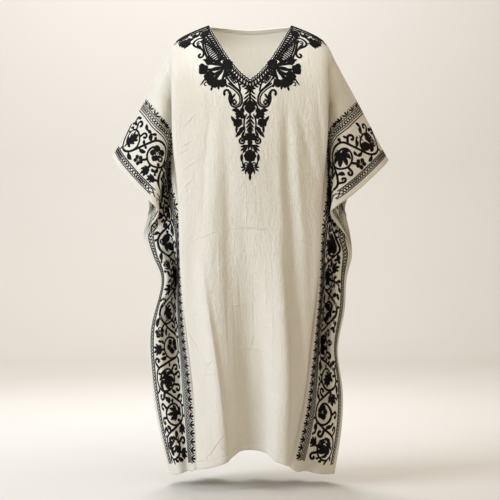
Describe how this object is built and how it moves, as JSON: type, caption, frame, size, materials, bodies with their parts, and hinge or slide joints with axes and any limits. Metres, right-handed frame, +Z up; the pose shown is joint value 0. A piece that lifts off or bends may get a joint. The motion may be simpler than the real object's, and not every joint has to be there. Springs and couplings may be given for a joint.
{
  "type": "kaftan",
  "caption": "Loose cotton kaftan, worn shape, with a V neck, grown-on open sleeves, draped sides and embroidered neck and borders.",
  "frame": {"origin": "midway between the two neck points of the shoulder seams, where the wearer's shoulders hold the garment", "axes": "+Z up along the wearer, -Y out of the front, +X to the wearer's left"},
  "size_m": [0.7368, 0.3178, 1.197],
  "materials": {
    "cotton": "undyed crinkled cotton, matte, faint slub",
    "neck_tape": "plain cotton bias strip, matte",
    "thread": "black wool embroidery thread, slight sheen"
  },
  "bodies": {
    "root": {"front_panel": "cotton", "back_panel": "cotton", "front_neck_facing": "neck_tape", "back_neck_facing": "neck_tape"}
  },
  "joints": []
}
